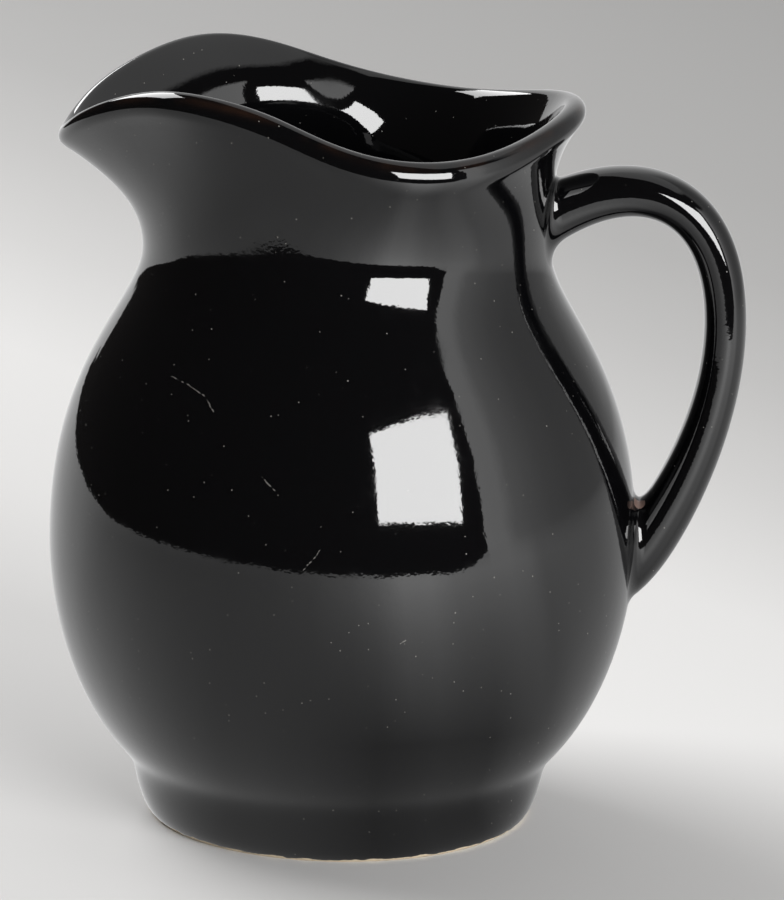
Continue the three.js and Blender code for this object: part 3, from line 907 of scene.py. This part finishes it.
world = bpy.data.worlds.new("studio")
bpy.context.scene.world = world
world.use_nodes = True
room = world.node_tree
room.nodes.clear()
ray = add(room, "SeparateXYZ", [add(room, "TexCoord", output="Generated")]).node.outputs
azimuth = azimuth_of(room, ray)
wall_start, wall_end, brightest = 59.5, 210, 2.3  # degrees, and the highest level that a ramp holds
wall_turns = wall_end - wall_start
dark_room, ceiling_tone, backdrop = linear("2c2a29"), (0.7, 0.7, 0.7, 1), linear("b4b2b0")
wall_levels = [(wall_start, 1.8), (68, 1.65), (74, 1.1), (82, 0.85), (92, 0.62), (105, 0.45), (120, 0.35),
               (140, 0.32), (155, 0.45), (168, 0.75), (180, 0.9), (wall_end, 0.9)]


def greys(levels, start, turns):
    """A ramp's stops for grey levels by azimuth, as shares of the brightest."""
    return [((a - start) / turns, (b / brightest, b / brightest, b / brightest, 1)) for a, b in levels]


def round_wall(tree, azimuth):
    """How far along the pale wall an azimuth is, from 0 to 1, and the wall's light there."""
    past = add(tree, "Math ADD", [azimuth, -math.radians(wall_start)])
    wrapped = add(tree, "Math WRAP", [past, 0.0, math.tau])
    place = add(tree, "Math DIVIDE", [wrapped, math.radians(wall_turns)])
    return place, add(tree, "ValToRGB", {"Fac": place}, "Color",
                      stops=greys(wall_levels, wall_start, wall_turns))


wall_place, wall_light = round_wall(room, azimuth)
on_wall_side = add(room, "Math LESS_THAN", [wall_place, 1.0])
over_screen = add(room, "MapRange", [ray["Z"], 0.58, 0.62])
screen_end = add(room, "MapRange", [wall_place, 0.30, 0.18])
gap_share = add(room, "Math MULTIPLY", [over_screen, screen_end])
ceiling = add(room, "MapRange", [ray["Z"], 0.79, 0.83])
wall_bright = add(room, "VectorMath SCALE", {0: wall_light, "Scale": brightest})
screened = add(room, "Mix", {"Factor": gap_share, "A": wall_bright, "B": dark_room}, data_type="RGBA")
roofed = add(room, "Mix", {"Factor": ceiling, "A": screened, "B": ceiling_tone}, data_type="RGBA")
room_light = add(room, "Mix", {"Factor": on_wall_side, "A": dark_room, "B": roofed}, data_type="RGBA")
seen = add(room, "LightPath", output="Is Camera Ray")
shown = add(room, "Mix", {"Factor": seen, "A": room_light, "B": backdrop}, data_type="RGBA")
add(room, "OutputWorld", {"Surface": add(room, "Background", {"Color": shown})})
print("room nodes:", len(room.nodes))

# %% [markdown]
# The pot stands on a large sheet of pale paper. Its colour carries painted light: it is painted a little
# brighter in a band that runs past the pot and darker behind, measured across the band, and the band's low
# end is painted lighter, which thins the front soft box's shadow. The lamps' shadow falls on it as on any
# paper. In the mirror of the pot the sheet is a painted reflection that glows for glossy rays. It has a front
# edge, about
# 0.4 m away, with the dark room behind it. Close to the foot on the right it carries a painted shadow, where
# the pot's shadow lies, and far away it takes on the wall's level, as paper that curves up into the wall
# does.
# Only glossy rays see all that: the camera sees paper everywhere.

# %% The floor
floor_reach = 3.0
sides = 96
ring = [towards(360 * i / sides, 0) * floor_reach for i in range(sides)]
floor_mesh = bpy.data.meshes.new("paper_floor")
floor_mesh.from_pydata([tuple(p) for p in ring], [], [tuple(range(sides))])
floor = new_object("paper_floor", floor_mesh)
paper = bpy.data.materials.new("matt_paper_floor")
paper.use_nodes = True
paper.cycles.emission_sampling = "NONE"
floor_mesh.materials.append(paper)
sheet = paper.node_tree
sheet.nodes.clear()
on_floor = add(sheet, "TexCoord", output="Object")
band_way, band_start, band_end, lamps_share = (0.79, 0.61, 0), -0.1, 0.5, 1.34
across_band = add(sheet, "VectorMath DOT_PRODUCT", [on_floor, band_way])
band_place = add(sheet, "MapRange", [across_band, band_start, band_end])
# painted light: paper tones across the band, brighter in the band and darker behind, lighter at the low end
# to thin the front soft box's shadow
painted_light_band_tones = [(-0.10, 0.80), (-0.05, 0.86), (0.0, 0.91), (0.05, 0.94), (0.10, 0.91), (0.15, 0.75),
              (0.20, 0.63), (0.25, 0.55), (0.30, 0.52), (0.45, 0.49)]
warm = (1, 0.99, 0.98)
band_stops = [((u - band_start) / (band_end - band_start), (*(t / lamps_share * w for w in warm), 1))
              for u, t in painted_light_band_tones]
paper_colour_and_painted_light = add(sheet, "ValToRGB", {"Fac": band_place}, "Color", stops=band_stops)
matt = add(sheet, "BsdfDiffuse", {"Color": paper_colour_and_painted_light})
print("floor:", sides, "sides,", floor_reach, "m")

# %% The floor in the pot's mirror: a painted reflection
from_pot = add(sheet, "VectorMath SUBTRACT", [on_floor, (axis_x, 0, 0)])
floor_azimuth = azimuth_of(sheet, add(sheet, "SeparateXYZ", [from_pot]).node.outputs)
floor_distance = add(sheet, "VectorMath LENGTH", [from_pot])
turn_place = add(sheet, "MapRange", [floor_azimuth, -math.pi, math.pi])
# painted reflection: the levels the paper glows with for glossy rays, far out and at the foot; the low ones
# at the foot on the right are a painted shadow
painted_mirror_tones = [(-180, 0.9), (-142, 0.86), (-127, 0.86), (-112, 0.83), (-97, 0.65), (-82, 0.57), (-67, 0.5),
         (-52, 0.48), (-37, 0.48), (-22, 0.52), (-7, 0.65), (7, 0.97), (15, 1.34), (25, 2.1), (35, 2.13),
         (45, 1.67), (55, 1.5), (67, 1.45), (75, 1.25), (82, 0.88), (97, 0.72), (112, 0.6), (150, 0.6),
         (180, 0.9)]
painted_mirror_tones_at_foot = [(-180, 0.8), (-142, 0.84), (-127, 0.74), (-112, 0.83), (-97, 0.88), (-82, 0.86),
                 (-67, 0.73), (-52, 0.6), (-37, 0.5), (-22, 0.48), (-7, 0.42), (7, 0.33), (15, 0.27),
                 (35, 0.32), (55, 0.25), (67, 0.33), (82, 0.38), (97, 0.48), (112, 0.5), (150, 0.5),
                 (180, 0.8)]
out_there, at_foot = (add(sheet, "ValToRGB", {"Fac": turn_place}, "Color", stops=greys(levels, -180, 360))
                      for levels in (painted_mirror_tones, painted_mirror_tones_at_foot))
decades = add(sheet, "Math LOGARITHM", [floor_distance, 10.0])
away = add(sheet, "MapRange", [decades, math.log10(45 * mm), math.log10(330 * mm), 0, 1.14])
tone = add(sheet, "Mix", {"Factor": away, "A": at_foot, "B": out_there}, data_type="RGBA",
           clamp_factor=False)
_, wall_tone = round_wall(sheet, floor_azimuth)
to_horizon = add(sheet, "MapRange", [floor_distance, 0.25, 0.9], interpolation_type="SMOOTHSTEP")
mirror_tone = add(sheet, "Mix", {"Factor": to_horizon, "A": tone, "B": wall_tone}, data_type="RGBA")
sheet_left = -152
ends = [math.radians(sheet_left), math.radians(wall_start)]
edge_place = add(sheet, "MapRange", [floor_azimuth, *ends])
sheet_edge = [(sheet_left, 1.0), (-137, 0.79), (-115, 0.60), (-103, 0.49), (-93, 0.445), (-53, 0.445),
              (-32, 0.415), (-13, 0.389), (3, 0.373), (18, 0.359), (37, 0.347), (48, 0.35), (53, 0.39),
              (wall_start, 0.6)]
edge_stops = [((a - sheet_left) / (wall_start - sheet_left), (d, d, d, 1)) for a, d in sheet_edge]
edge_here = add(sheet, "ValToRGB", {"Fac": edge_place}, "Color", stops=edge_stops)
past_edge = add(sheet, "Math GREATER_THAN", [floor_distance, edge_here])
from_left = add(sheet, "Math GREATER_THAN", [floor_azimuth, ends[0]])
to_wall = add(sheet, "Math LESS_THAN", [floor_azimuth, ends[1]])
in_front = add(sheet, "Math MULTIPLY", [from_left, to_wall])
dark_share = add(sheet, "Math MULTIPLY", [in_front, past_edge])
# the paper glows for glossy rays: a painted reflection, with the dark room past its painted front edge
painted_mirror_glow = add(sheet, "Emission", {"Color": mirror_tone, "Strength": brightest})
dark = add(sheet, "Emission", {"Color": dark_room})
mirrored = add(sheet, "MixShader", [dark_share, painted_mirror_glow, dark])
glossy = add(sheet, "LightPath", output="Is Glossy Ray")
surface = add(sheet, "MixShader", [glossy, matt, mirrored])
add(sheet, "OutputMaterial", {"Surface": surface})
bpy.context.scene.view_settings.view_transform = "Standard"
print("paper nodes:", len(sheet.nodes))
